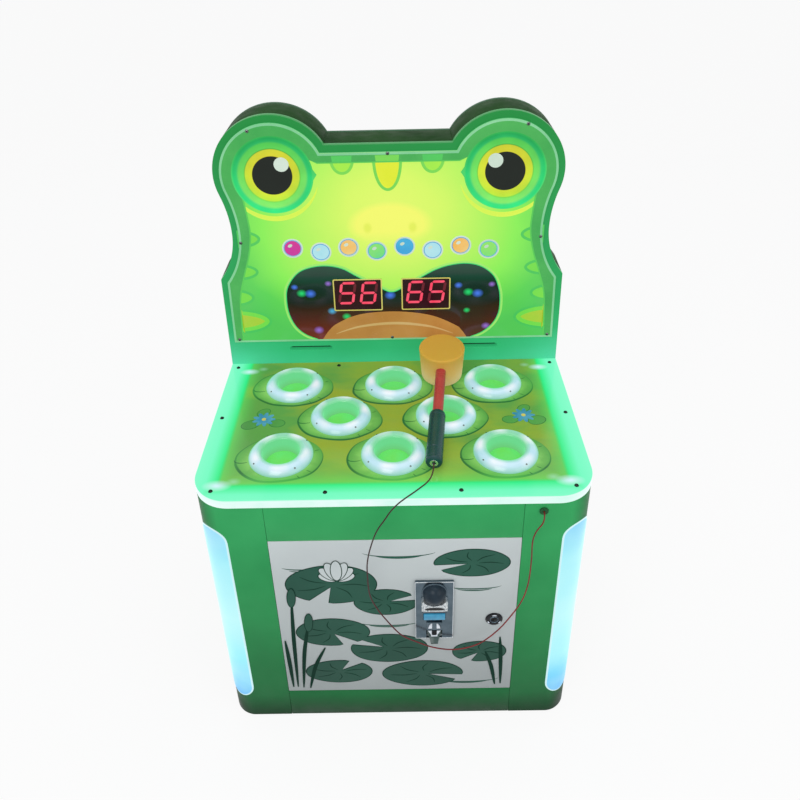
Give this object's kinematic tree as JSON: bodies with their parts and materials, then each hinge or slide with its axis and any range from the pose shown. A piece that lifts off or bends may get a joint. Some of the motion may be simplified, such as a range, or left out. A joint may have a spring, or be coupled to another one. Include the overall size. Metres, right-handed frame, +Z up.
{
  "type": "pounding arcade machine",
  "caption": "Child-size pounding game machine with a lit deck of ringed holes, rising moles, a lobed light-box header with score displays, a coin door and a corded mallet.",
  "frame": {"origin": "centre of the footprint's bounding box, cord left out, on the floor that the feet stand on", "axes": "+Z up, +Y to the back, +X to the right of a player who stands in front at -Y"},
  "size_m": [0.6174, 0.4708, 1.0271],
  "materials": {
    "front_paint": "gloss green laminate on board",
    "side_paint": "dark green laminate on board",
    "plywood": "bare plywood",
    "clear_cover": "clear sheet over a printed pond",
    "lit_rim": "lit green",
    "light_strip": "lit cyan",
    "ring": "lit white mint",
    "mole": "bright green",
    "coil": "black coil body",
    "header_print": "back-lit lime print",
    "display": "dark window with red digits",
    "black_plastic": "black",
    "button_blue": "gloss blue",
    "chrome": "polished",
    "door_paint": "pale grey laminate on board",
    "circuit_board": "green board",
    "sheet_metal": "folded sheet",
    "mallet_foam": "amber moulded foam",
    "handle_vinyl": "red",
    "grip_rubber": "dark teal",
    "cord": "red-brown jacket"
  },
  "bodies": {
    "cabinet": {"base_board": "plywood", "left_side_panel": "side_paint", "right_side_panel": "side_paint", "left_corner_column": "front_paint", "right_corner_column": "front_paint", "left_light_strip": "light_strip", "right_light_strip": "light_strip", "front_top_rail": "front_paint", "front_bottom_rail": "front_paint", "back_panel": "side_paint", "deck_board": "plywood", "deck_cover": "clear_cover", "deck_rim": "lit_rim", "mechanism_tray": "plywood", "header_shell": "front_paint", "header_panel": "header_print", "left_display": "display", "right_display": "display", "left_speaker": "black_plastic", "right_speaker": "black_plastic", "coin_door": "door_paint", "coin_acceptor": "chrome", "main_board": "circuit_board", "power_supply": "sheet_metal", "power_inlet": "black_plastic", "mallet_cord": "cord", "cord_grommet": "black_plastic", "hole_ring_1": "ring", "lift_1": "coil", "hole_ring_2": "ring", "lift_2": "coil", "hole_ring_3": "ring", "lift_3": "coil", "hole_ring_4": "ring", "lift_4": "coil", "hole_ring_5": "ring", "lift_5": "coil", "hole_ring_6": "ring", "lift_6": "coil", "hole_ring_7": "ring", "lift_7": "coil", "hole_ring_8": "ring", "lift_8": "coil"},
    "door_lock": {"door_lock": "chrome"},
    "coin_return_button": {"coin_return_button": "button_blue"},
    "coin_return_flap": {"coin_return_flap": "black_plastic"},
    "power_switch": {"power_switch": "black_plastic"},
    "rear_door": {"rear_door": "side_paint", "rear_lock": "chrome"},
    "mallet": {"mallet_head": "mallet_foam", "mallet_handle": "handle_vinyl", "mallet_grip": "grip_rubber"},
    "mole_1": {"mole_1": "mole"},
    "mole_2": {"mole_2": "mole"},
    "mole_3": {"mole_3": "mole"},
    "mole_4": {"mole_4": "mole"},
    "mole_5": {"mole_5": "mole"},
    "mole_6": {"mole_6": "mole"},
    "mole_7": {"mole_7": "mole"},
    "mole_8": {"mole_8": "mole"}
  },
  "joints": [
    {"name": "mole_1_rise", "type": "slide", "parent": "cabinet", "child": "mole_1", "axis": [0, 0, 1], "range_m": [0, 0.028]},
    {"name": "mole_2_rise", "type": "slide", "parent": "cabinet", "child": "mole_2", "axis": [0, 0, 1], "range_m": [0, 0.028]},
    {"name": "mole_3_rise", "type": "slide", "parent": "cabinet", "child": "mole_3", "axis": [0, 0, 1], "range_m": [0, 0.028]},
    {"name": "mole_4_rise", "type": "slide", "parent": "cabinet", "child": "mole_4", "axis": [0, 0, 1], "range_m": [0, 0.028]},
    {"name": "mole_5_rise", "type": "slide", "parent": "cabinet", "child": "mole_5", "axis": [0, 0, 1], "range_m": [0, 0.028]},
    {"name": "mole_6_rise", "type": "slide", "parent": "cabinet", "child": "mole_6", "axis": [0, 0, 1], "range_m": [0, 0.028]},
    {"name": "mole_7_rise", "type": "slide", "parent": "cabinet", "child": "mole_7", "axis": [0, 0, 1], "range_m": [0, 0.028]},
    {"name": "mole_8_rise", "type": "slide", "parent": "cabinet", "child": "mole_8", "axis": [0, 0, 1], "range_m": [0, 0.028]},
    {"name": "door_lock_turn", "type": "hinge", "parent": "cabinet", "child": "door_lock", "pos_m": [0.1637, -0.21445, 0.2609], "axis": [0, 1, 0], "range_deg": [0, 90]},
    {"name": "coin_return_button_press", "type": "slide", "parent": "cabinet", "child": "coin_return_button", "axis": [0, 1, 0], "range_m": [0, 0.004], "stiffness_N_per_m": 300, "springref_m": -0.002},
    {"name": "coin_return_flap_swing", "type": "hinge", "parent": "cabinet", "child": "coin_return_flap", "pos_m": [0.06275, -0.21675, 0.24075], "axis": [-1, 0, 0], "range_deg": [0, 30]},
    {"name": "power_switch_rock", "type": "hinge", "parent": "cabinet", "child": "power_switch", "pos_m": [0.225, 0.21845, 0.083], "axis": [-1, 0, 0], "range_deg": [0, 16]},
    {"name": "rear_door_swing", "type": "hinge", "parent": "cabinet", "child": "rear_door", "pos_m": [0.17, 0.22345, 0.23], "axis": [0, 0, -1], "range_deg": [0, 110]},
    {"name": "mallet_lift", "type": "slide", "parent": "cabinet", "child": "mallet", "axis": [0, 0, 1], "range_m": [0, 0.3]}
  ]
}
